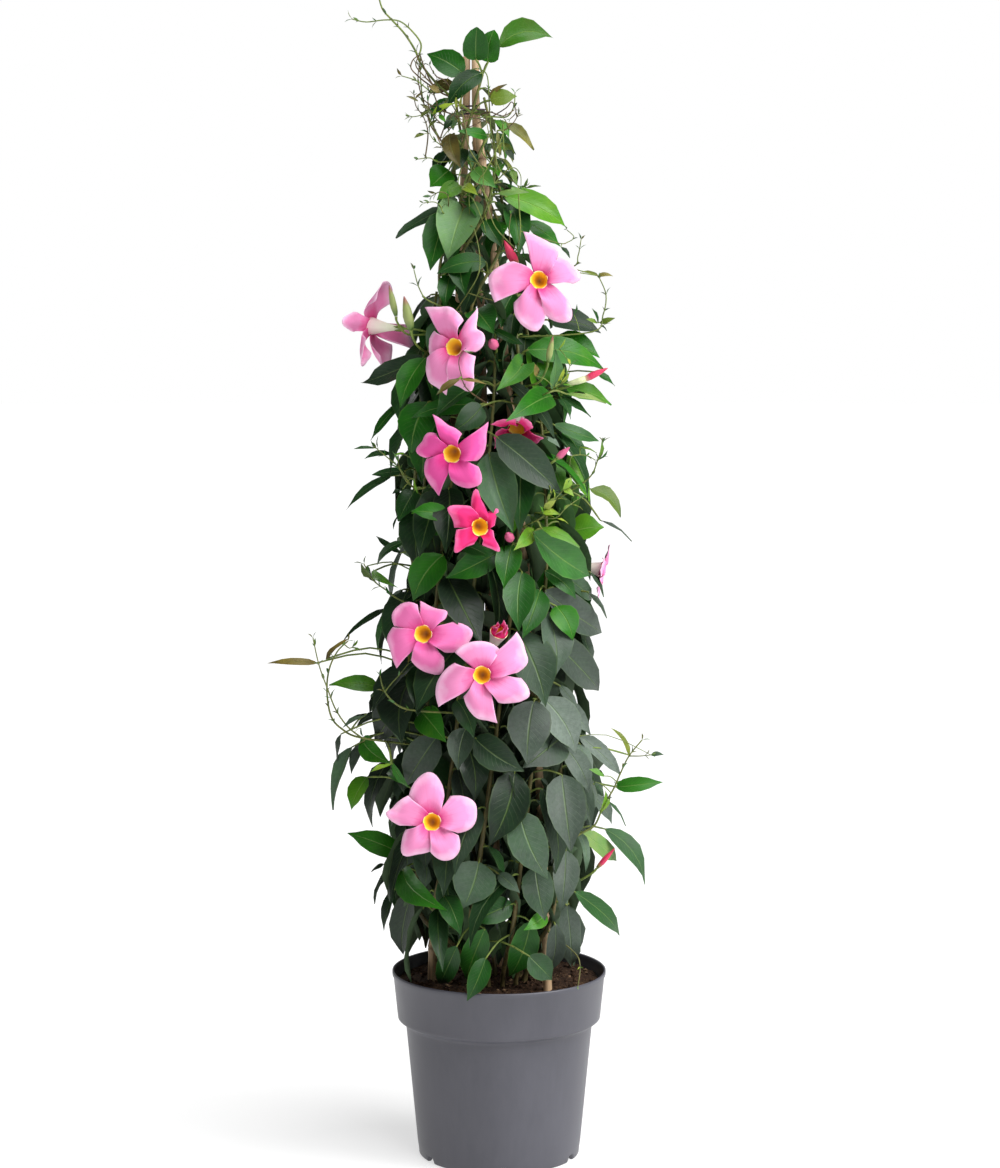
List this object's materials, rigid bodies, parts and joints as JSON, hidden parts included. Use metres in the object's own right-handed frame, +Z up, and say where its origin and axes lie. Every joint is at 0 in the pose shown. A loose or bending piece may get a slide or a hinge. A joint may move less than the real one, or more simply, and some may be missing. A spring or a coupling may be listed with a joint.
{
  "type": "potted climbing mandevilla",
  "caption": "Tall climbing shrub with funnel blooms, twined up a pyramid of canes in a round nursery pot, for standing on a floor or terrace.",
  "frame": {"origin": "middle of the pot's flat underside, on the surface that it stands on", "axes": "+Z up along the pot's axis, +X to the right and +Y to the back as the plant's front is seen"},
  "size_m": [0.4431, 0.3117, 1.2955],
  "materials": {
    "pot": "satin grey moulded plastic",
    "soil": "dark crumbly compost",
    "cane": "pale bamboo",
    "tie": "dark coated wire",
    "leaf": "glossy green leaf",
    "bloom": "soft pink petal",
    "bloom_deep": "soft deep pink petal"
  },
  "bodies": {
    "root": {"pot": "pot", "soil": "soil", "cane_left": "cane", "cane_right": "cane", "cane_back": "cane", "tie": "tie", "vine_1": "leaf", "vine_2": "leaf", "vine_3": "leaf", "vine_4": "leaf", "vine_5": "leaf", "vine_6": "leaf", "vine_7": "leaf", "vine_8": "leaf", "vine_9": "leaf", "vine_10": "leaf", "vine_11": "leaf", "vine_12": "leaf", "bloom_1": "bloom", "bloom_2": "bloom", "bloom_3": "bloom", "bloom_4": "bloom_deep", "bloom_5": "bloom_deep", "bloom_6": "bloom", "bloom_7": "bloom", "bloom_8": "bloom_deep", "bloom_9": "bloom", "bloom_10": "bloom_deep", "bloom_11": "bloom", "bud_1": "bloom_deep", "bud_2": "bloom_deep", "bud_3": "bloom_deep", "bud_4": "bloom_deep", "bud_5": "bloom_deep", "bud_6": "bloom_deep", "bud_7": "bloom_deep", "bud_8": "bloom_deep", "bud_9": "bloom_deep"}
  },
  "joints": []
}
